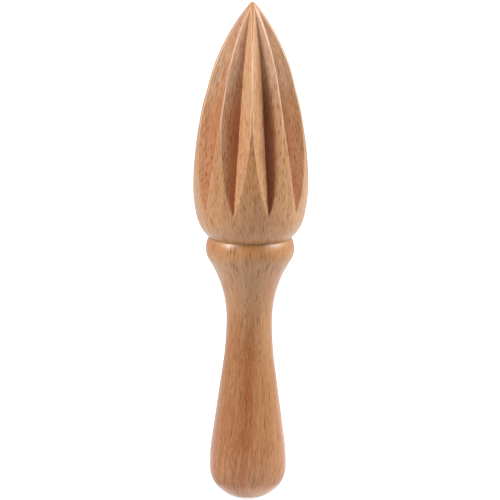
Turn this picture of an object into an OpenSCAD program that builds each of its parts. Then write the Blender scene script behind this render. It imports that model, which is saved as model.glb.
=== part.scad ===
// Wooden citrus reamer, turned from one beech blank and then fluted.
// Millimetres. +Z runs up the axis to the tip, and the origin is the middle of the flat on the butt.
// A ridge of the head faces -Y.

/* [Handle] */
// From the flat of the butt up to the crease under the head
handle_len = 87.5; // [84:0.5:115]
// Flat that the reamer stands on
butt_flat_d = 6.6; // [4:0.1:10]
// Rounding from that flat out to the widest part of the bulb
butt_round_r = 10.6; // [8:0.1:12]
// Widest part of the handle, near the butt
bulb_d = 25.5; // [22:0.1:28.5]
// Straight stretch of the grip, as a share of the height from the bulb's widest part to the waist
grip_straight = 0.521; // [0:0.001:0.8]
// How much of the grip's curve is the bulb's crown; the rest is the hollow above it
crown_share = 0.368; // [0.2:0.001:0.6]
// Thinnest part of the handle
waist_d = 15; // [12.5:0.1:18]
// From the waist up to the crease
neck_len = 27.7; // [20:0.1:32]

/* [Collar bead] */
// Widest part of the bead under the head
bead_d = 29.1; // [28:0.1:33]
// From the crease down to the widest part of the bead
bead_drop = 3.8; // [2.4:0.1:5]
// Diameter at the bottom of the crease
crease_d = 26.9; // [24:0.1:28]

/* [Head] */
// From the crease up to the tip
head_len = 77.5; // [68:0.5:95]
// Widest part of the head
head_d = 38.1; // [35:0.1:44]
// From the crease up to the widest part
belly_h = 19.6; // [17:0.1:24]
// Swell of the head below its widest part
under_r = 57.5; // [44:0.5:90]
// How far below the widest part the tighter shoulder starts
shoulder_drop = 12.5; // [8:0.1:13]
// Swell of the head above its widest part
flank_r = 117; // [90:1:200]
// How far above the widest part the nose starts to draw in
nose_start = 28.3; // [15:0.1:36]
// Rounding of the very tip
tip_r = 1.1; // [0.6:0.1:2.5]

/* [Flutes] */
// Number of V flutes round the head
flute_count = 10; // [6:1:12]
// Angle between the two faces of a flute
flute_v = 101; // [80:1:110]
// Depth of a flute at the widest part of the head
flute_depth = 2.9; // [1.5:0.1:4]
// Lean of the long straight pass towards the axis
flute_lean = 10.8; // [8:0.1:12]
// How far above the widest part that pass ends
flute_run = 30.6; // [20:0.1:38]
// Short passes of the V bit that carry the flute on over the nose
nose_passes = 7; // [4:1:9]
// Plain nib above the flutes, measured across
nib_d = 4.1; // [3:0.1:7]

/* [Quality] */
// Largest gap between a curve and its straight facets
chord_gap = 0.02; // [0.01:0.005:0.05]

/* [Hidden] */
$fn = 120;
BEECH = [0.78, 0.6, 0.43];

waist_z = handle_len - neck_len;
bead_z = handle_len - bead_drop;
belly_z = handle_len + belly_h;
tip_z = handle_len + head_len;

// The butt's rounding meets the edge of the flat and is upright at the bulb's widest point
bulb_x = bulb_d / 2 - butt_round_r;
bulb_z = sqrt(pow(butt_round_r, 2) - pow(butt_flat_d / 2 - bulb_x, 2));
bulb_c = [bulb_x, bulb_z];

// The grip is the bulb's crown, a straight stretch and a hollow, and each touches the next
grip_h = waist_z - bulb_z;
grip_drop = (bulb_d - waist_d) / 2;
grip_r = (pow(grip_h, 2) + pow(grip_drop, 2) - pow(grip_straight * grip_h, 2)) / (2 * grip_drop);
bulb_crown_r = crown_share * grip_r;
grip_hollow_r = grip_r - bulb_crown_r;
crown_c = [bulb_d / 2 - bulb_crown_r, bulb_z];
grip_c = [waist_d / 2 + grip_hollow_r, waist_z];
grip_side = grip_c - crown_c;
grip_turn = angle_at(crown_c, grip_c) - acos(grip_r / norm(grip_side));

// The bead's arc runs from its widest point up through the edge of the crease
crease = [crease_d / 2, handle_len];
bead_rise = (bead_d - crease_d) / 2;
bead_r = (pow(bead_drop, 2) + pow(bead_rise, 2)) / (2 * bead_rise);
bead_c = [bead_d / 2 - bead_r, bead_z];
// The neck is that arc and one hollow, and the two touch
neck_h = bead_z - waist_z;
neck_rise = (bead_d - waist_d) / 2;
neck_hollow_r = (pow(neck_h, 2) + pow(neck_rise, 2)) / (2 * neck_rise) - bead_r;
neck_c = [waist_d / 2 + neck_hollow_r, waist_z];
neck_turn = asin(neck_h / (bead_r + neck_hollow_r));

// The head below its widest part: a long swell, then a shoulder that ends in the crease
under_c = [head_d / 2 - under_r, belly_z];
under_turn = -asin(shoulder_drop / under_r);
shoulder_r = radius_through(on_arc(under_c, under_r, under_turn), under_turn, crease, 0);
shoulder_c = on_arc(under_c, under_r - shoulder_r, under_turn);

// The head above its widest part: a long swell, then a nose that ends on the rounded tip
flank_c = [head_d / 2 - flank_r, belly_z];
flank_turn = asin(nose_start / flank_r);
tip_c = [0, tip_z - tip_r];
nose_r = radius_through(on_arc(flank_c, flank_r, flank_turn), flank_turn, tip_c, tip_r);
nose_c = on_arc(flank_c, flank_r - nose_r, flank_turn);
tip_turn = angle_at(nose_c, tip_c);

// A flute's floor: one straight pass, then an arc that ends at the foot of the nib
floor_belly = [head_d / 2 - flute_depth, belly_z];
floor_bend = on_arc(floor_belly, flute_run / cos(flute_lean), flute_lean + 90);
nib = [nib_d / 2, nose_height(nib_d / 2)];
floor_r = radius_through(floor_bend, flute_lean, nib, 0);
floor_c = on_arc(floor_bend, -floor_r, flute_lean);
pass_turn = (angle_at(floor_c, nib) - flute_lean) / nose_passes;
// Half of a short pass, from where it touches the arc to where it meets the next one
pass_half = floor_r * tan(pass_turn / 2);
pass_overrun = pass_half / 2;
bit_reach = head_d / 4;

function on_arc(c, r, a) = c + r * [cos(a), sin(a)];
function angle_at(c, p) = atan2(p[1] - c[1], p[0] - c[0]);
// Radius of the arc that leaves point p square to direction a and closes on a circle of radius r at c
function radius_through(p, a, c, r) =
    let (w = p - c) (w * w - r * r) / (2 * (w * [cos(a), sin(a)] - r));
// Height of the turned surface near the tip, where its radius is x
function nose_height(x) =
    x > tip_r * cos(tip_turn)
        ? nose_c[1] + sqrt(pow(nose_r, 2) - pow(x - nose_c[0], 2))
        : tip_c[1] + sqrt(pow(tip_r, 2) - pow(x, 2));
// Points along an arc from angle a to angle b, without the last one
function arc(c, r, a, b) =
    let (steps = max(2, ceil(abs(b - a) / (2 * acos(1 - chord_gap / r)))))
    [for (i = [0:steps - 1]) on_arc(c, r, a + (b - a) * i / steps)];

handle_outline = concat(
    [[0, 0]],
    arc(bulb_c, butt_round_r, angle_at(bulb_c, [butt_flat_d / 2, 0]), 0),
    arc(crown_c, bulb_crown_r, 0, grip_turn),
    arc(grip_c, grip_hollow_r, 180 + grip_turn, 180)
);
collar_outline = concat(
    arc(neck_c, neck_hollow_r, 180, 180 - neck_turn),
    arc(bead_c, bead_r, -neck_turn, angle_at(bead_c, crease))
);
head_outline = concat(
    arc(shoulder_c, shoulder_r, angle_at(shoulder_c, crease), under_turn),
    arc(under_c, under_r, under_turn, 0),
    arc(flank_c, flank_r, 0, flank_turn),
    arc(nose_c, nose_r, flank_turn, tip_turn),
    arc(tip_c, tip_r, tip_turn, 90),
    [[0, tip_z]]
);

// The blank as it comes off the lathe
module turned_blank() {
    rotate_extrude() polygon(concat(handle_outline, collar_outline, head_outline));
}

// One straight pass of the V bit over +X, its point running both ways from p, square to direction a
module v_pass(p, a, down, up) {
    half = bit_reach * tan(flute_v / 2);
    translate([p[0], 0, p[1]]) rotate([0, -a, 0]) translate([0, 0, -down])
        linear_extrude(down + up) polygon([[0, 0], [bit_reach, -half], [bit_reach, half]]);
}

// One flute: the long pass runs out over the belly, and the short ones follow the nose
module flute() {
    v_pass(floor_bend, flute_lean, flute_run + belly_h, pass_half + pass_overrun);
    for (i = [1:nose_passes]) {
        a = flute_lean + i * pass_turn;
        v_pass(on_arc(floor_c, floor_r, a), a, pass_half + pass_overrun, pass_half + pass_overrun);
    }
}

module reamer() {
    color(BEECH) difference() {
        turned_blank();
        for (i = [0:flute_count - 1]) rotate(-90 + (i + 0.5) * 360 / flute_count) flute();
    }
}

reamer();
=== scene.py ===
import math

import bpy
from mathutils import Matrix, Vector


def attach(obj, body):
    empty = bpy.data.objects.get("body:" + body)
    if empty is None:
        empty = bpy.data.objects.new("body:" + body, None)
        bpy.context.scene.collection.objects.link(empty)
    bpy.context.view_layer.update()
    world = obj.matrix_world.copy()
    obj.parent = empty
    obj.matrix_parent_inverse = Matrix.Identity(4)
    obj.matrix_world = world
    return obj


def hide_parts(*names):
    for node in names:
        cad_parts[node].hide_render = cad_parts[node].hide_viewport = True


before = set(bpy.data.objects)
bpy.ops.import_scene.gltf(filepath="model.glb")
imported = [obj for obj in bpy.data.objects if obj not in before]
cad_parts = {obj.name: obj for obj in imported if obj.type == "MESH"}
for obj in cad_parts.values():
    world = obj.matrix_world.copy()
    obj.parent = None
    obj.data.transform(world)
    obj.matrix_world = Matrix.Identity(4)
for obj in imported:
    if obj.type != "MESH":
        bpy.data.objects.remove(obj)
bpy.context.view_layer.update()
print("frame loaded")

mm = 0.001
perMetre = 1000.0  # millimetres in a metre

# Turned outline in millimetres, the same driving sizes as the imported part
turning = {
    "handleLen": 87.5, "buttFlatD": 6.6, "buttRoundR": 10.6, "bulbD": 25.5,
    "gripStraight": 0.521, "crownShare": 0.368, "waistD": 15.0, "neckLen": 27.7,
    "beadD": 29.1, "beadDrop": 3.8, "creaseD": 26.9,
    "headLen": 77.5, "headD": 38.1, "bellyH": 19.6, "underR": 57.5, "shoulderDrop": 12.5,
    "flankR": 117.0, "noseStart": 28.3, "tipR": 1.1,
    # spacing of the rings of faces
    "handleStep": 1.2, "headStep": 0.5, "beadStep": 0.4, "tipStep": 0.17,
}

# V flutes of the head, in degrees and millimetres; heights are above the crease
fluting = {
    "count": 10, "vAngle": 101.0, "depth": 2.9, "lean": 10.8, "run": 30.6, "nibD": 4.1,
    # how sanding rounds the ridges, the edges between flutes and lands, and the floors
    "ridgeSoft": 0.45, "edgeSoft": 0.18, "floorSoft": 0.12,
    # and how much of the radius each of the first two may take where the head is thin
    "ridgeShare": 0.045, "edgeShare": 0.25,
    # how far the ridges are sanded down near the nib and where the lands begin,
    # the height where one changes into the other, and half the length of that change
    "bluntTop": 0.05, "bluntLow": 0.22, "bluntZ": 53.5, "bluntHalf": 5.0,
    # two pale lines on the front ridge, painted highlights with some rubbed wear: half their distance,
    # the height where they meet, and how far below and above it they run together
    "forkHalf": 0.4, "forkZ": 50.0, "forkBelow": 9.0, "forkAbove": 1.0,
    # the cut begins a little above the crease
    "cutFrom": 2.0,
}

# Faces round the head, between the middle of a floor and the next ridge
meshing = {
    # columns at the floor, beside it, before and after the edge, and at the ridge
    "columns": (0, 2, 7, 12, 16),
    # half width of the close columns at an edge in millimetres, and the most of the sector it takes
    "edgeZone": 0.45, "edgeZoneShare": 0.25,
    # width of those beside the floor against the floor's rounding, and their share of the way
    "floorZone": 2.5, "floorZoneShare": 0.4,
    # an edge stays this share of the sector away from the floor; by the second there is no flute
    "leastEdge": 0.02, "noEdge": 0.03,
    # millimetres over which the columns spread evenly below the head
    "evenBelow": 20.0,
    # points closer than this many millimetres become one
    "joinWithin": 0.002,
}


# Gives a socket its value: a wire, another socket or a plain value
def fill(tree, socket, value):
    if isinstance(value, Wire):
        tree.links.new(value.socket, socket)
    elif isinstance(value, bpy.types.NodeSocket):
        tree.links.new(value, socket)
    else:
        socket.default_value = value


def mathNode(tree, operation, values):
    node = tree.nodes.new("ShaderNodeMath")
    node.operation = operation
    for socket, value in zip(node.inputs, values):
        fill(tree, socket, value)
    return Wire(tree, node.outputs[0])


# A socket in a node tree, with arithmetic
class Wire:
    def __init__(self, tree, socket):
        self.tree = tree
        self.socket = socket

    def math(self, operation, *others):
        return mathNode(self.tree, operation, (self,) + others)

    def __add__(self, other):
        return self.math("ADD", other)

    def __sub__(self, other):
        return self.math("SUBTRACT", other)

    def __rsub__(self, other):
        return mathNode(self.tree, "SUBTRACT", (other, self))

    def __mul__(self, other):
        return self.math("MULTIPLY", other)

    def __truediv__(self, other):
        return self.math("DIVIDE", other)

    def __rtruediv__(self, other):
        return mathNode(self.tree, "DIVIDE", (other, self))

    def least(self, other):
        return self.math("MINIMUM", other)

    def most(self, other):
        return self.math("MAXIMUM", other)

    def over(self, other):
        return self.math("GREATER_THAN", other)

    def sqrt(self):
        return self.math("SQRT")

    def absolute(self):
        return self.math("ABSOLUTE")


# Adds nodes to one tree
class Maker:
    def __init__(self, tree):
        self.tree = tree

    # Sockets go by name, with _ for a space, or by number: input0 is the first
    def add(self, kind, settings=None, **sockets):
        node = self.tree.nodes.new(kind)
        for name, value in (settings or {}).items():
            setattr(node, name, value)
        for name, value in sockets.items():
            self.plug(node, name.replace("_", " "), value)
        return node

    def plug(self, node, name, value):
        numbered = name.startswith("input")
        key = int(name.removeprefix("input")) if numbered else name
        fill(self.tree, node.inputs[key], value)

    def wire(self, node, output=0):
        return Wire(self.tree, node.outputs[output])

    def mixColour(self, factor, first, second):
        node = self.add("ShaderNodeMix", {"data_type": "RGBA"}, input0=factor, input6=first, input7=second)
        return self.wire(node, 2)

    # Goes from one value to another between two places, and stays there beyond them
    def ramp(self, place, stops, ease="LINEAR"):
        start, end, atStart, atEnd = stops
        node = self.add("ShaderNodeMapRange", {"interpolation_type": ease, "clamp": True}, Value=place,
                        From_Min=start, From_Max=end, To_Min=atStart, To_Max=atEnd)
        return self.wire(node)

    def axes(self, vector):
        parts = self.add("ShaderNodeSeparateXYZ", Vector=vector)
        return [self.wire(parts, axis) for axis in "XYZ"]


def onArc(centre, radius, degrees):
    turn = math.radians(degrees)
    return (centre[0] + radius * math.cos(turn), centre[1] + radius * math.sin(turn))


def angleAt(centre, point):
    return math.degrees(math.atan2(point[1] - centre[1], point[0] - centre[0]))


# Radius of the arc that leaves a point square to a direction and closes on a circle
def radiusThrough(point, degrees, centre, radius):
    turn = math.radians(degrees)
    dx, dz = point[0] - centre[0], point[1] - centre[1]
    along = dx * math.cos(turn) + dz * math.sin(turn)
    return (dx * dx + dz * dz - radius * radius) / (2 * (along - radius))


# The outline from butt to tip as arcs: centre, radius, first and last angle, ring spacing
def turnedArcs(s):
    waistZ = s["handleLen"] - s["neckLen"]
    beadZ = s["handleLen"] - s["beadDrop"]
    bellyZ = s["handleLen"] + s["bellyH"]
    headR, bulbR, waistR, beadR = s["headD"] / 2, s["bulbD"] / 2, s["waistD"] / 2, s["beadD"] / 2
    crease = (s["creaseD"] / 2, s["handleLen"])

    # butt and grip
    bulbX = bulbR - s["buttRoundR"]
    bulb = (bulbX, math.sqrt(s["buttRoundR"] ** 2 - (s["buttFlatD"] / 2 - bulbX) ** 2))
    gripH, gripDrop = waistZ - bulb[1], bulbR - waistR
    gripR = (gripH ** 2 + gripDrop ** 2 - (s["gripStraight"] * gripH) ** 2) / (2 * gripDrop)
    crownR = s["crownShare"] * gripR
    crown = (bulbR - crownR, bulb[1])
    grip = (waistR + gripR - crownR, waistZ)
    gripTurn = angleAt(crown, grip) - math.degrees(math.acos(gripR / math.dist(crown, grip)))

    # neck and bead
    beadRise = beadR - crease[0]
    beadArc = (s["beadDrop"] ** 2 + beadRise ** 2) / (2 * beadRise)
    bead = (beadR - beadArc, beadZ)
    neckH, neckRise = beadZ - waistZ, beadR - waistR
    hollow = (neckH ** 2 + neckRise ** 2) / (2 * neckRise) - beadArc
    neck = (waistR + hollow, waistZ)
    neckTurn = math.degrees(math.asin(neckH / (beadArc + hollow)))

    # head
    under = (headR - s["underR"], bellyZ)
    underTurn = -math.degrees(math.asin(s["shoulderDrop"] / s["underR"]))
    shoulderR = radiusThrough(onArc(under, s["underR"], underTurn), underTurn, crease, 0)
    shoulder = onArc(under, s["underR"] - shoulderR, underTurn)
    flank = (headR - s["flankR"], bellyZ)
    flankTurn = math.degrees(math.asin(s["noseStart"] / s["flankR"]))
    tip = (0.0, s["handleLen"] + s["headLen"] - s["tipR"])
    noseR = radiusThrough(onArc(flank, s["flankR"], flankTurn), flankTurn, tip, s["tipR"])
    nose = onArc(flank, s["flankR"] - noseR, flankTurn)
    tipTurn = angleAt(nose, tip)

    coarse, fine = s["handleStep"], s["headStep"]
    return [
        (bulb, s["buttRoundR"], angleAt(bulb, (s["buttFlatD"] / 2, 0)), 0, fine),
        (crown, crownR, 0, gripTurn, coarse),
        (grip, gripR - crownR, 180 + gripTurn, 180, coarse),
        (neck, hollow, 180, 180 - neckTurn, coarse),
        (bead, beadArc, -neckTurn, angleAt(bead, crease), s["beadStep"]),
        (shoulder, shoulderR, angleAt(shoulder, crease), underTurn, fine),
        (under, s["underR"], underTurn, 0, fine),
        (flank, s["flankR"], 0, flankTurn, fine),
        (nose, noseR, flankTurn, tipTurn, fine),
        (tip, s["tipR"], tipTurn, 90, s["tipStep"]),
    ], nose, noseR


# Radius and height of every ring, from the middle of the butt to the tip
def turnedRings(s, arcs):
    rings = [(0.0, 0.0), (s["buttFlatD"] / 4, 0.0)]
    for centre, radius, first, last, spacing in arcs:
        length = math.radians(abs(last - first)) * radius
        steps = max(2, math.ceil(length / spacing))
        rings += [onArc(centre, radius, first + (last - first) * i / steps) for i in range(steps)]
    rings.append((0.0, s["handleLen"] + s["headLen"]))
    return rings


# The floor of a flute: a straight run, then an arc that ends at the nib
def fluteFloor(s, flute, nose, noseR):
    bellyZ = s["handleLen"] + s["bellyH"]
    belly = (s["headD"] / 2 - flute["depth"], bellyZ)
    bend = onArc(belly, flute["run"] / math.cos(math.radians(flute["lean"])), flute["lean"] + 90)
    nibR = flute["nibD"] / 2
    nib = (nibR, nose[1] + math.sqrt(noseR ** 2 - (nibR - nose[0]) ** 2))
    radius = radiusThrough(bend, flute["lean"], nib, 0)
    centre = onArc(bend, -radius, flute["lean"])
    return {"Belly Radius": belly[0], "Belly Height": belly[1], "Bend Height": bend[1],
            "Nose Centre Radius": centre[0], "Nose Centre Height": centre[1], "Nose Radius": radius}


def outlineMesh(rings):
    mesh = bpy.data.meshes.new("outline")
    edges = [(i, i + 1) for i in range(len(rings) - 1)]
    mesh.from_pydata([(r * mm, 0, z * mm) for r, z in rings], edges, [])
    return mesh


# Geometry nodes: sweeps the outline round the axis and cuts the V flutes into it
def reamerTree(ringCount):
    tree = bpy.data.node_groups.new("flutedHead", "GeometryNodeTree")
    make = Maker(tree)
    face = tree.interface
    numbers = {
        "Float": ["V Angle", "Floor Lean", "Belly Radius", "Belly Height", "Bend Height",
                  "Nose Centre Radius", "Nose Centre Height", "Nose Radius",
                  "Ridge Soft", "Edge Soft", "Floor Soft", "Edge Zone", "Head Start",
                  "Blunt Top", "Blunt Low", "Blunt Height", "Fork Half", "Fork Height"],
        "Int": ["Flutes", "Half Columns"],
    }
    face.new_socket("Geometry", in_out="INPUT", socket_type="NodeSocketGeometry")
    for kind, names in numbers.items():
        for name in names:
            face.new_socket(name, in_out="INPUT", socket_type="NodeSocket" + kind)
    face.new_socket("Material", in_out="INPUT", socket_type="NodeSocketMaterial")
    face.new_socket("Geometry", in_out="OUTPUT", socket_type="NodeSocketGeometry")
    given = make.add("NodeGroupInput")
    size = {name: Wire(tree, given.outputs[name]) for names in numbers.values() for name in names}

    # keep divisions, roots and rounding safe at the axis and where a face turns away
    tiny, tinySquare, nudge, leastLean = 1e-5, 1e-9, 1e-4, 0.05

    # a grid: rows follow the outline, columns go round
    columns = size["Flutes"] * size["Half Columns"] * 2 + 1
    grid = make.add("GeometryNodeMeshGrid", Vertices_X=columns, Vertices_Y=ringCount)
    index = make.wire(make.add("GeometryNodeInputIndex"))
    column = (index / ringCount + nudge).math("FLOOR")
    row = index - column * ringCount
    place = make.wire(make.add("GeometryNodeInputPosition"))
    outline = make.add("GeometryNodeSampleIndex", {"data_type": "FLOAT_VECTOR", "domain": "POINT"},
                       Geometry=given.outputs["Geometry"], Value=place, Index=row)
    turned, _, height = make.axes(make.wire(outline))

    # floor of the flute at this height, and how steep its faces are
    lean = size["Floor Lean"].math("TANGENT")
    straight = size["Belly Radius"] - (height - size["Belly Height"]) * lean
    rise = height - size["Nose Centre Height"]
    swing = (size["Nose Radius"] * size["Nose Radius"] - rise * rise).most(tinySquare).sqrt()
    onNose = height.over(size["Bend Height"])
    floor = straight + (swing + size["Nose Centre Radius"] - straight) * onNose
    slope = lean + (rise / swing - lean) * onNose
    steep = (size["V Angle"] / 2).math("TANGENT") / (slope * slope + 1.0).sqrt()

    # sanding takes the sharp crest off the ridges
    sector = math.pi / size["Flutes"]
    crest = floor * steep / (steep * sector.math("COSINE") - sector.math("SINE"))
    change = fluting["bluntHalf"] * mm
    blunt = make.ramp(height, (size["Blunt Height"] - change, size["Blunt Height"] + change,
                               size["Blunt Low"], size["Blunt Top"]), "SMOOTHSTEP")
    turned = turned.least(crest - blunt)

    # angle from the floor's middle to the edge where the V leaves the turned surface
    safe = turned.most(tiny)
    cosine = (floor * steep / (safe * (steep * steep + 1.0).sqrt())).least(1.0)
    edge = cosine.math("ARCCOSINE") - (1.0 / steep).math("ARCTANGENT")
    edge = edge.most(sector * meshing["leastEdge"]).least(sector)
    # below the head the columns are spread evenly again
    inHead = make.ramp(height, (size["Head Start"] - meshing["evenBelow"] * mm, size["Head Start"],
                                0.0, 1.0), "SMOOTHSTEP")
    edge = sector * 0.5 + (edge - sector * 0.5) * inHead
    zone = (size["Edge Zone"] / safe).least(sector * meshing["edgeZoneShare"])
    before = (edge - zone).most(edge * 0.5)
    after = (edge + zone).least((edge + sector) * 0.5)
    nearFloor = size["Floor Soft"] * meshing["floorZone"] / safe
    nearFloor = nearFloor.least(before * meshing["floorZoneShare"])

    # where this column stands between a floor (0) and a ridge (1)
    share = (column / size["Half Columns"]).math("PINGPONG", 1.0)
    half = (column / size["Half Columns"]).math("FLOOR")
    stops = [at / meshing["columns"][-1] for at in meshing["columns"]]
    marks = (share * 0.0, nearFloor, before, after, sector)
    angle = marks[0]
    for first, last, start, end in zip(stops, stops[1:], marks, marks[1:]):
        angle = angle + (end - start) * make.ramp(share, (first, last, 0.0, 1.0))
    # every other half runs back from a ridge to the next floor
    odd = half.math("FLOORED_MODULO", 2.0)
    side = 1.0 - odd * 2.0
    around = (half + odd) * sector + angle * side

    # radius of the V's face here, softened at its floor, and of the next flute's face
    rounded = (size["Floor Soft"] / safe).math("POWER", 2.0)
    sine = (angle.math("SINE") * angle.math("SINE") + rounded).sqrt()
    own = floor * steep / (steep * angle.math("COSINE") - sine)
    mirror = sector * 2.0 - angle
    away = (steep * mirror.math("COSINE") - mirror.math("SINE")).most(leastLean)
    other = floor * steep / away
    ridgeSoft = size["Ridge Soft"].least(turned * fluting["ridgeShare"])
    edgeSoft = size["Edge Soft"].least(turned * fluting["edgeShare"])
    cut = own.math("SMOOTH_MIN", other, ridgeSoft).math("SMOOTH_MIN", turned, edgeSoft)
    inFlutes = height.over(size["Head Start"])
    radius = turned + (cut.least(turned) - turned) * inFlutes

    # a ridge faces -Y
    turn = around - math.pi / 2 + sector
    spot = make.add("ShaderNodeCombineXYZ", X=radius * turn.math("COSINE"),
                    Y=radius * turn.math("SINE"), Z=height)
    body = make.add("GeometryNodeSetPosition", Geometry=grid.outputs["Mesh"], Position=make.wire(spot))

    # the front ridge lies between the last two halves; two pale lines, painted highlights with some rubbed
    # wear, run down it
    forked = make.ramp((height - size["Fork Height"]) * perMetre,
                       (-fluting["forkBelow"], fluting["forkAbove"], 1.0, 0.0), "SMOOTHSTEP")
    forked = forked * half.over(size["Flutes"] * 2.0 - 2.5)
    wearGlintEdge = edge.least(sector - forked * size["Fork Half"] / safe)
    # where there is no flute, every point is far from an edge
    noFlute = 1.0 - edge.over(sector * meshing["noEdge"]) * inFlutes
    farOff = 10.0

    # what the beech reads, in millimetres: depth of the cut, distances along the surface to the
    # nearest edge or ridge and to the floor's middle, and the outline's radius; and the wall's side
    readings = {
        "cutDepth": (turned - radius) * perMetre,
        "edgeGap": (angle - wearGlintEdge).absolute() * turned * perMetre + noFlute * farOff,
        "floorGap": angle * turned * perMetre,
        "girth": turned * perMetre,
        "wallSide": side,
    }
    for name, value in readings.items():
        body = make.add("GeometryNodeStoreNamedAttribute", {"data_type": "FLOAT", "domain": "POINT"},
                        Geometry=body.outputs[0], Name=name, Value=value)
    merged = make.add("GeometryNodeMergeByDistance", Geometry=body.outputs[0],
                      Distance=meshing["joinWithin"] * mm)
    smooth = make.add("GeometryNodeSetShadeSmooth", Geometry=merged.outputs[0], Shade_Smooth=True)
    real = make.add("GeometryNodeRealizeInstances", Geometry=smooth.outputs[0])
    dressed = make.add("GeometryNodeSetMaterial", Geometry=real.outputs[0],
                       Material=given.outputs["Material"])
    make.add("NodeGroupOutput", Geometry=dressed.outputs[0])
    return tree


def turnedReamer(material):
    arcs, nose, noseR = turnedArcs(turning)
    rings = turnedRings(turning, arcs)
    source = bpy.data.objects.new("outline", outlineMesh(rings))
    bpy.context.scene.collection.objects.link(source)
    tree = reamerTree(len(rings))
    nodes = source.modifiers.new("fluting", "NODES")
    nodes.node_group = tree
    sockets = {item.name: item.identifier for item in tree.interface.items_tree
               if item.item_type == "SOCKET" and item.in_out == "INPUT"}

    lengths = fluteFloor(turning, fluting, nose, noseR)
    lengths.update({
        "Ridge Soft": fluting["ridgeSoft"], "Edge Soft": fluting["edgeSoft"],
        "Floor Soft": fluting["floorSoft"], "Edge Zone": meshing["edgeZone"],
        "Head Start": turning["handleLen"] + fluting["cutFrom"],
        "Blunt Top": fluting["bluntTop"], "Blunt Low": fluting["bluntLow"],
        "Blunt Height": turning["handleLen"] + fluting["bluntZ"],
        "Fork Half": fluting["forkHalf"], "Fork Height": turning["handleLen"] + fluting["forkZ"],
    })
    values = {name: value * mm for name, value in lengths.items()}
    values.update({
        "V Angle": math.radians(fluting["vAngle"]), "Floor Lean": math.radians(fluting["lean"]),
        "Flutes": fluting["count"], "Half Columns": meshing["columns"][-1], "Material": material,
    })
    for name, value in values.items():
        nodes[sockets[name]] = value
    bpy.context.view_layer.update()
    graph = bpy.context.evaluated_depsgraph_get()
    mesh = bpy.data.meshes.new_from_object(source.evaluated_get(graph))
    bpy.data.objects.remove(source)
    piece = bpy.data.objects.new("turnedReamer", mesh)
    bpy.context.scene.collection.objects.link(piece)
    return piece


# Beech colours, linear
beechColours = {
    "pale": (0.525, 0.283, 0.122), "pink": (0.46, 0.206, 0.075), "brown": (0.37, 0.12, 0.031),
    "sap": (0.665, 0.39, 0.195), "heart": (0.305, 0.08, 0.015), "pore": (0.17, 0.05, 0.016),
    "fresh": (0.635, 0.37, 0.202), "paintedGrooveShade": (0.52, 0.13, 0.046), "shade": (0.17, 0.05, 0.027),
    "amber": (0.62, 0.277, 0.104), "endGrain": (0.42, 0.2, 0.1),
    "crease": (0.20, 0.08, 0.03), "wearAndGlint": (0.8, 0.62, 0.48),
}

# How strongly its parts show
beechLook = {
    "roughness": 0.42, "cutRoughness": 0.5, "specular": 0.2,
    "gloss": 0.95, "cutGloss": 0.5, "glossRoughness": 0.34,
    "fresh": 0.7, "wearAndGlint": 0.95, "pore": 0.95, "poreLossInHead": 0.2,
    # height above the crease where its painted shade is darkest, in millimetres
    "creaseAt": 0.1,
    # relief, with the height of its bumps in millimetres
    "fibreRelief": 0.4, "poreRelief": 0.8, "gritRelief": 0.5, "bump": 0.25, "bumpHeight": 0.06,
}

# Noise in the wood: width and length of its cells in millimetres, and its detail
grains = {
    "sway": (14.0, 90.0, 2.0), "broad": (16.0, 70.0, 2.0),
    "fibre": (0.18, 3.0, 1.0), "strand": (1.1, 16.0, 2.0), "grit": (0.5, 0.9, 3.0),
}

# How this blank was sawn and turned, in millimetres
blank = {
    # the pith lies outside the blank; growth rings stand this far apart and waver by this much
    "pith": (-38.0, 24.0), "ringGap": 1.9, "waver": 9.0, "ringDetail": 3.0,
    # the pattern is scaled to one radius, within limits, so that fibres follow the outline
    "girth": 12.5, "leastGirth": 8.5, "mostGirth": 18.5,
    # fibres bend sideways towards the butt
    "bendBelow": 60.0, "bend": 0.0011,
    # the redder streak wavers about this line, and its core lies beside it
    "heartAt": 0.7, "coreAt": 0.5, "coreBase": 0.7,
    # pores are short in the handle and still shorter and narrower in the head
    "poreWide": 0.56, "poreLong": 9.0, "shortFrom": 86.0, "shorter": 0.6, "narrower": 0.25,
}

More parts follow.
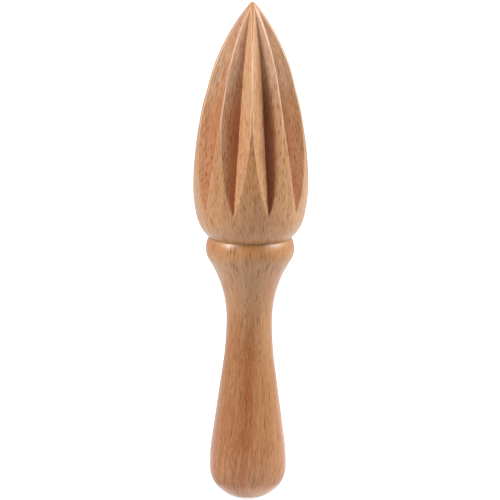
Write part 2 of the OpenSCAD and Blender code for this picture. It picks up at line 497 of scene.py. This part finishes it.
# Where each part of the look starts and ends, and its share at both: heights are above the butt,
# sides are across the front, and all but the patterns are in millimetres
spans = {
    "cut": (0.12, 0.55, 0.0, 1.0), "outerWall": (-2.0, 2.0, 0.0, 1.0),
    # tone of the blank: sapwood at the sides of the head, and the sapwood colour near the tip as a painted
    # sheen
    "broad": (0.38, 0.62, 0.0, 1.0), "amberHeight": (72.0, 86.0, 0.0, 0.5),
    "sapLeft": (-10.0, -3.0, 0.5, 0.15), "sapRight": (3.0, 10.0, 0.15, 0.9),
    "sapHeight": (84.0, 100.0, 0.0, 1.0), "sheenTip": (138.0, 158.0, 0.0, 0.6),
    "heart": (1.0, 6.0, 1.0, 0.0), "core": (1.0, 5.0, 0.3, 0.0),
    # the handle is darkened towards the butt with painted shade
    "heartHeight": (52.0, 72.0, 0.95, 0.0), "buttShade": (14.0, 40.0, 0.18, 0.0),
    # fresher wood in the flutes, with painted shade on their outer walls to the right and a painted sheen
    # at the top of the outer walls; browner end grain on the nib
    "rightWallShade": (-2.0, 6.0, 0.0, 0.2), "paleTop": (132.0, 141.0, 0.0, 0.4),
    "endGrain": (146.0, 160.0, 0.0, 0.45),
    # patterns
    "rings": (0.45, 0.75, 0.0, 0.16), "fibreDark": (0.49, 0.7, 0.0, 1.0),
    "fibrePale": (0.28, 0.5, 0.8, 0.0), "fibreRough": (0.3, 0.7, -0.04, 0.06),
    "strandDark": (0.5, 0.75, 0.0, 0.4), "strandPale": (0.3, 0.5, 0.35, 0.0),
    # painted shade in the crease
    "crease": (0.15, 0.6, 0.3, 0.0),
    # painted shade: redder outer walls, most of all at their floors, and browner on the right
    "shadeSide": (0.0, 3.0, 0.0, 0.8), "wallShadeSide": (5.0, 9.0, 1.0, 0.3),
    "wallShadeRight": (0.0, 3.0, 0.75, 1.0), "wallShadeHeight": (130.0, 144.0, 1.0, 0.3),
    "wallShadeFloor": (0.7, 4.4, 0.9, 0.0), "wallShadeLow": (126.0, 136.0, 0.15, 0.0),
    # pores
    "poreHead": (84.0, 90.0, 0.0, 1.0), "poreCore": (0.19, 0.28, 1.0, 0.0),
    "porePick": (0.28, 0.55, 0.0, 1.0),
    # pale lines on ridges and edges, painted highlights with some rubbed wear, strongest half way up the
    # flutes
    "wearAndGlint": (0.04, 0.21, 1.0, 0.0), "wearGlintStrand": (0.3, 0.7, 0.5, 1.0),
    "wearGlintRise": (104.0, 132.0, 0.2, 1.0), "wearGlintTop": (144.0, 160.0, 1.0, 0.2),
}


# Object coordinates in millimetres, bent the way the fibres of this blank run
def grainSpace(make):
    spot = make.add("ShaderNodeTexCoord")
    x, y, z = (axis * perMetre for axis in make.axes(spot.outputs["Object"]))
    girth = make.wire(make.add("ShaderNodeAttribute", {"attribute_name": "girth"}), "Fac")
    swell = blank["girth"] / girth.most(blank["leastGirth"]).least(blank["mostGirth"])
    below = (z - blank["bendBelow"]).least(0.0)
    return x * swell + below * below * blank["bend"], y * swell, z


# A vector for a pattern whose cells are wide by wide by long millimetres
def stretched(make, x, y, z, wide, long):
    return make.wire(make.add("ShaderNodeCombineXYZ", X=x / wide, Y=y / wide, Z=z / long))


def beech():
    material = bpy.data.materials.new("oiledBeech")
    material.use_nodes = True
    tree = material.node_tree
    tree.nodes.clear()
    make = Maker(tree)
    x, y, z = grainSpace(make)
    colours = {name: colour + (1.0,) for name, colour in beechColours.items()}

    def reading(name):
        return make.wire(make.add("ShaderNodeAttribute", {"attribute_name": name}), "Fac")

    def grain(name):
        wide, long, detail = grains[name]
        return make.wire(make.add("ShaderNodeTexNoise", Vector=stretched(make, x, y, z, wide, long),
                                  Scale=1.0, Detail=detail))

    def span(place, name, ease="LINEAR"):
        return make.ramp(place, spans[name], ease)

    inCut = span(reading("cutDepth"), "cut")
    plain = 1.0 - inCut
    # the wall of a flute that looks back at the middle of the front
    outer = span(reading("wallSide") * x, "outerWall")

    # broad tone of the blank, with paler sapwood at the sides of the head, and the sapwood colour near the
    # tip as a painted sheen
    sway = grain("sway")
    tone = make.mixColour(span(grain("broad"), "broad", "SMOOTHSTEP"), colours["pale"], colours["pink"])
    tone = make.mixColour(plain * span(z, "amberHeight"), tone, colours["amber"])
    sides = span(x, "sapLeft").most(span(x, "sapRight") * plain)
    tone = make.mixColour(sides * span(z, "sapHeight"), tone, colours["sap"])
    # painted sheen: the tip is painted paler
    tone = make.mixColour(span(z, "sheenTip"), tone, colours["sap"])

    # a redder streak runs up the handle with the fibres, and painted shade darkens the handle towards the
    # butt
    across = x + (sway - 0.5) * blank["waver"] - blank["heartAt"]
    core = span((across + blank["coreAt"]).absolute(), "core", "SMOOTHSTEP") + blank["coreBase"]
    heart = span(across, "heart", "SMOOTHSTEP") * core
    tone = make.mixColour(heart * span(z, "heartHeight", "SMOOTHSTEP"), tone, colours["heart"])
    tone = make.mixColour(span(z, "buttShade"), tone, colours["heart"])

    # flutes are cut into fresher wood, with painted shade that leaves less of it on the outer walls to the
    # right, and the nib shows end grain
    freshness = inCut * (1.0 - outer * span(x, "rightWallShade"))
    tone = make.mixColour(freshness * beechLook["fresh"], tone, colours["fresh"])
    # painted sheen: the top of the outer walls is painted paler
    tone = make.mixColour(inCut * outer * span(z, "paleTop"), tone, colours["wearAndGlint"])
    tone = make.mixColour(plain * span(z, "endGrain"), tone, colours["endGrain"])
    light = make.mixColour(freshness, colours["pale"], colours["fresh"])

    # growth rings: shells about the pith
    east, north = x - blank["pith"][0], y - blank["pith"][1]
    fromPith = (east * east + north * north).sqrt() + sway * blank["waver"]
    rings = make.wire(make.add("ShaderNodeTexNoise", {"noise_dimensions": "1D"},
                               W=fromPith / blank["ringGap"], Scale=1.0, Detail=blank["ringDetail"]))
    tone = make.mixColour(span(rings, "rings"), tone, colours["brown"])

    # fibre: darker and paler streaks about a pixel wide, and broader strands
    fibre, strand = grain("fibre"), grain("strand")
    for streak, name in ((fibre, "fibre"), (strand, "strand")):
        tone = make.mixColour(span(streak, name + "Dark"), tone, colours["brown"])
        tone = make.mixColour(span(streak, name + "Pale"), tone, light)

    # painted shade darkens the bottom of the crease
    crease = (z - turning["handleLen"] - beechLook["creaseAt"]).absolute()
    tone = make.mixColour(span(crease, "crease"), tone, colours["crease"])

    # painted shade: the outer walls of the flutes are redder, most of all at their floors, and browner on
    # the right
    paintedGrooveShade = make.mixColour(span(x, "shadeSide"), colours["paintedGrooveShade"], colours["shade"])
    wallShadeMask = inCut * outer * span(x.absolute(), "wallShadeSide") * span(z, "wallShadeHeight") * span(x, "wallShadeRight")
    tone = make.mixColour(wallShadeMask * span(reading("floorGap"), "wallShadeFloor"), tone, paintedGrooveShade)
    tone = make.mixColour(inCut * outer * span(z, "wallShadeLow"), tone, colours["paintedGrooveShade"])

    # short dark pores
    inHead = span(z, "poreHead")
    packed = z + (z - blank["shortFrom"]).most(0.0) * blank["shorter"]
    cells = make.add("ShaderNodeTexVoronoi", {"feature": "F1"}, Scale=1.0, Randomness=1.0,
                     Vector=stretched(make, x, y, packed, blank["poreWide"], blank["poreLong"]))
    pick = make.wire(make.add("ShaderNodeSeparateColor", Color=cells.outputs["Color"]), 0)
    fromPore = make.wire(cells, "Distance") * (inHead * blank["narrower"] + 1.0)
    pores = span(fromPore, "poreCore") * span(pick, "porePick")
    tone = make.mixColour(pores * (beechLook["pore"] - inHead * beechLook["poreLossInHead"]), tone,
                          colours["pore"])

    # edges are painted pale: painted highlights of the rounded edges, with some rubbed wear
    wearAndGlint = span(reading("edgeGap"), "wearAndGlint") * span(strand, "wearGlintStrand")
    wearAndGlint = wearAndGlint * span(z, "wearGlintRise") * span(z, "wearGlintTop")
    tone = make.mixColour(wearAndGlint * beechLook["wearAndGlint"], tone, colours["wearAndGlint"])

    relief = fibre * beechLook["fibreRelief"] - pores * beechLook["poreRelief"]
    relief = relief + grain("grit") * inCut * beechLook["gritRelief"]
    bump = make.add("ShaderNodeBump", Strength=beechLook["bump"], Distance=beechLook["bumpHeight"] * mm,
                    Height=relief)
    rough = inCut * (beechLook["cutRoughness"] - beechLook["roughness"]) + beechLook["roughness"]
    rough = rough + span(fibre, "fibreRough")

    shader = make.add("ShaderNodeBsdfPrincipled", Base_Color=tone, Roughness=rough,
                      Normal=bump.outputs["Normal"], Specular_IOR_Level=beechLook["specular"],
                      Coat_Weight=beechLook["gloss"] - inCut * (beechLook["gloss"] - beechLook["cutGloss"]),
                      Coat_Roughness=beechLook["glossRoughness"])
    make.add("ShaderNodeOutputMaterial", Surface=shader.outputs[0])
    return material


# Unit vector from the object towards an azimuth and elevation; azimuth 0 is -Y
def towards(azimuth, elevation):
    turn, rise = math.radians(azimuth), math.radians(elevation)
    return Vector((math.cos(rise) * math.sin(turn), -math.cos(rise) * math.cos(turn), math.sin(rise)))


# The camera looks from a little above level; angles in degrees, lengths in metres
cameraView = {
    "azimuth": -0.8, "elevation": 11.5, "distance": 1.4, "aimHeight": 0.08298,
    "frameWidth": 0.16396, "roll": 0.62, "clip": (0.05, 20.0),
    "sensor": 36.0,  # millimetres
}


def photoCamera():
    view = cameraView
    aim = Vector((0.0, 0.0, view["aimHeight"]))
    back = towards(view["azimuth"], view["elevation"])
    lens = bpy.data.cameras.new("photoCamera")
    lens.sensor_width = view["sensor"]
    lens.lens = view["sensor"] * view["distance"] / view["frameWidth"]
    lens.clip_start, lens.clip_end = view["clip"]
    camera = bpy.data.objects.new("photoCamera", lens)
    bpy.context.scene.collection.objects.link(camera)
    camera.location = aim + back * view["distance"]
    camera.rotation_euler = (-back).to_track_quat("-Z", "Y").to_matrix().to_euler()
    camera.rotation_euler.rotate_axis("Z", math.radians(view["roll"]))
    bpy.context.scene.camera = camera


# Softboxes either side of the camera, with a narrow strip on the left for crisp shadows in the flutes
lightPlan = {
    "boxes": [  # name, azimuth, elevation, distance, size across, size up, watts
        ("leftStrip", -65.5, 40.0, 0.8, 0.08, 0.53, 6.5),
        ("leftBox", -76.0, 40.0, 0.8, 0.4, 0.53, 1.0),
        ("rightBox", 82.0, 40.0, 0.8, 0.53, 0.53, 9.0),
    ],
    "aimHeight": 0.085,
    # the surround: strengths behind and in front of the object, and where one turns into the other
    "behind": 0.16, "inFront": 0.01, "turn": (-0.1, 0.3),
    # the backdrop as glossy rays see it
    "mirrored": 0.45, "mirror": (0.25, 0.7),
}


def softBox(name, azimuth, elevation, distance, across, up, watts):
    aim = Vector((0, 0, lightPlan["aimHeight"]))
    toLight = towards(azimuth, elevation)
    lamp = bpy.data.lights.new(name, "AREA")
    lamp.shape = "RECTANGLE"
    lamp.size, lamp.size_y = across, up
    lamp.energy = watts
    holder = bpy.data.objects.new(name, lamp)
    bpy.context.scene.collection.objects.link(holder)
    holder.location = aim + toLight * distance
    holder.rotation_euler = toLight.to_track_quat("Z", "Y").to_euler()


# Rays that show the surround in the object's gloss
def glossyRays(make, path):
    return make.wire(path, "Is Glossy Ray").most(make.wire(path, "Is Transmission Ray"))


# A bright backdrop behind the object and a dark room in front of it; the camera sees plain white
def surround():
    world = bpy.data.worlds.new("surround")
    bpy.context.scene.world = world
    world.use_nodes = True
    tree = world.node_tree
    tree.nodes.clear()
    make = Maker(tree)
    toBack = make.axes(make.add("ShaderNodeTexCoord").outputs["Generated"])[1]
    rear = make.ramp(toBack, lightPlan["turn"] + (0.0, 1.0), "SMOOTHSTEP")
    far = make.ramp(toBack, lightPlan["mirror"] + (0.0, 1.0), "SMOOTHSTEP")
    path = make.add("ShaderNodeLightPath")
    strengths = lightPlan["inFront"], lightPlan["behind"], lightPlan["mirrored"], 1.0
    front, behind, mirror, white = (make.add("ShaderNodeBackground", Color=(1, 1, 1, 1), Strength=strength)
                                    for strength in strengths)
    lit = make.add("ShaderNodeMixShader", input0=rear, input1=front.outputs[0], input2=behind.outputs[0])
    shown = make.add("ShaderNodeMixShader", input0=glossyRays(make, path) * far, input1=lit.outputs[0],
                     input2=mirror.outputs[0])
    both = make.add("ShaderNodeMixShader", input0=path.outputs["Is Camera Ray"], input1=shown.outputs[0],
                    input2=white.outputs[0])
    make.add("ShaderNodeOutputWorld", Surface=both.outputs[0])


# The floor's paint darkens away from the object. The camera sees it lifted to white, a little less
# near the object. Glossy rays see the backdrop's reflection in it, and a bright foot under the butt
floorLook = {
    "half": 3.0, "paint": (0.05, 0.25),
    "nearColour": (0.75, 0.75, 0.75, 1.0), "farColour": (0.38, 0.38, 0.38, 1.0),
    "nearLift": 0.85, "fade": 0.4, "foot": (0.0125, 0.0145), "footGloss": 1.0, "frontGloss": 0.12,
}


def paleFloor():
    half = floorLook["half"]
    mesh = bpy.data.meshes.new("paleFloor")
    corners = [(-half, -half, 0), (half, -half, 0), (half, half, 0), (-half, half, 0)]
    mesh.from_pydata(corners, [], [(0, 1, 2, 3)])
    floor = bpy.data.objects.new("paleFloor", mesh)
    bpy.context.scene.collection.objects.link(floor)
    material = bpy.data.materials.new("paleFloor")
    material.use_nodes = True
    tree = material.node_tree
    tree.nodes.clear()
    make = Maker(tree)
    path = make.add("ShaderNodeLightPath")
    x, y, _ = make.axes(make.add("ShaderNodeTexCoord").outputs["Object"])
    away = (x * x + y * y).sqrt()
    clear = make.ramp(away, (0.0, floorLook["fade"], floorLook["nearLift"], 1.0), "SMOOTHSTEP")
    back = make.ramp(y / away.most(mm),
                     lightPlan["mirror"] + (floorLook["frontGloss"], lightPlan["mirrored"]), "SMOOTHSTEP")
    shine = back.most(make.ramp(away, floorLook["foot"] + (floorLook["footGloss"], 0.0)))
    lift = make.wire(path, "Is Camera Ray") * clear + glossyRays(make, path) * shine
    paint = make.mixColour(make.ramp(away, floorLook["paint"] + (0.0, 1.0), "SMOOTHSTEP"),
                           floorLook["nearColour"], floorLook["farColour"])
    matt = make.add("ShaderNodeBsdfDiffuse", Color=paint)
    white = make.add("ShaderNodeEmission", Color=(1, 1, 1, 1), Strength=1.0)
    lifted = make.add("ShaderNodeMixShader", input0=lift, input2=white.outputs[0])
    both = make.add("ShaderNodeAddShader", input0=matt.outputs[0], input1=lifted.outputs[0])
    make.add("ShaderNodeOutputMaterial", Surface=both.outputs[0])
    mesh.materials.append(material)


reamer = turnedReamer(beech())
print("reamer made:", len(reamer.data.polygons), "faces")
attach(reamer, "root")
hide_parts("reamer")

photoCamera()
for box in lightPlan["boxes"]:
    softBox(*box)
surround()
paleFloor()
bpy.context.scene.view_settings.view_transform = "Standard"
print("camera, lights and floor placed")
